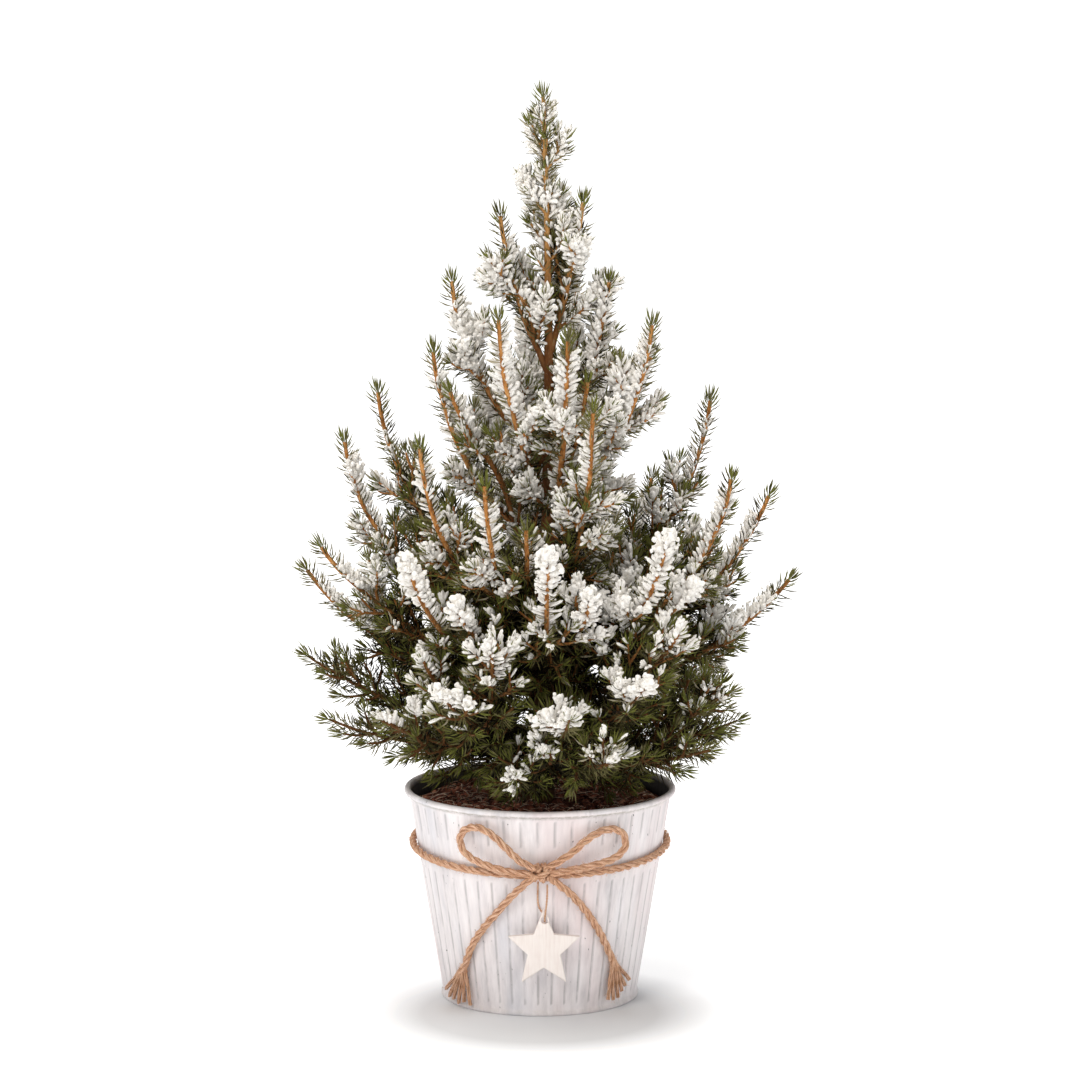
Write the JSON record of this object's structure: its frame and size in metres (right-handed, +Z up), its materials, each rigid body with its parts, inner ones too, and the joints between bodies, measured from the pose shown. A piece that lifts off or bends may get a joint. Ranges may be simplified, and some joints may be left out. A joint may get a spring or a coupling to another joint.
{
  "type": "potted dwarf alberta spruce",
  "caption": "Small cone-shaped spruce dusted with snow, in a tapered whitewashed zinc pot tied with a twine bow and a hanging wooden star.",
  "frame": {"origin": "centre of the pot's flat underside, at the height of the surface it stands on", "axes": "+Z up along the trunk, -Y towards the side with the bow and star, +X to the right seen from that side"},
  "size_m": [0.2629, 0.2458, 0.4722],
  "materials": {
    "whitewashed_zinc": "matte whitewash over zinc sheet",
    "peat_soil": "rough, fibrous",
    "orange_bark": "rough bark",
    "snowy_needles": "matte needles, dusted white",
    "jute_twine": "twisted natural fibre",
    "white_painted_wood": "matte off-white paint"
  },
  "bodies": {
    "root": {"bow_fringe_left": "jute_twine", "bow_fringe_right": "jute_twine", "bow_knot": "jute_twine", "bow_loop_left": "jute_twine", "bow_loop_right": "jute_twine", "bow_tail_left": "jute_twine", "bow_tail_right": "jute_twine", "crown_left_needles": "snowy_needles", "crown_right_needles": "snowy_needles", "leader_needles": "snowy_needles", "low_back_left_needles": "snowy_needles", "low_back_needles": "snowy_needles", "low_back_right_bough": "orange_bark", "low_back_right_needles": "snowy_needles", "low_front_bough": "orange_bark", "low_front_hanging_needles": "snowy_needles", "low_front_left_bough": "orange_bark", "low_front_left_needles": "snowy_needles", "low_front_needles": "snowy_needles", "low_front_right_bough": "orange_bark", "low_front_right_needles": "snowy_needles", "low_left_bough": "orange_bark", "low_left_front_needles": "snowy_needles", "low_left_needles": "snowy_needles", "low_left_under_bough": "orange_bark", "low_left_under_needles": "snowy_needles", "low_right_bough": "orange_bark", "low_right_front_bough": "orange_bark", "low_right_front_needles": "snowy_needles", "low_right_needles": "snowy_needles", "mid_back_left_needles": "snowy_needles", "mid_back_needles": "snowy_needles", "mid_back_right_needles": "snowy_needles", "mid_front_left_needles": "snowy_needles", "mid_front_left_spire_needles": "snowy_needles", "mid_front_needles": "snowy_needles", "mid_front_right_needles": "snowy_needles", "mid_front_right_spire_needles": "snowy_needles", "mid_front_spire_needles": "snowy_needles", "mid_left_back_needles": "snowy_needles", "mid_left_needles": "snowy_needles", "mid_left_spire_needles": "snowy_needles", "mid_right_back_needles": "snowy_needles", "mid_right_front_needles": "snowy_needles", "mid_right_needles": "snowy_needles", "mid_right_spire_needles": "snowy_needles", "pot": "whitewashed_zinc", "soil": "peat_soil", "star": "white_painted_wood", "star_thread": "jute_twine", "top_back_needles": "snowy_needles", "top_back_right_needles": "snowy_needles", "top_front_needles": "snowy_needles", "top_front_spire_needles": "snowy_needles", "top_left_front_needles": "snowy_needles", "top_left_needles": "snowy_needles", "top_right_front_needles": "snowy_needles", "top_right_needles": "snowy_needles", "trunk": "orange_bark", "twine_band": "jute_twine"}
  },
  "joints": []
}
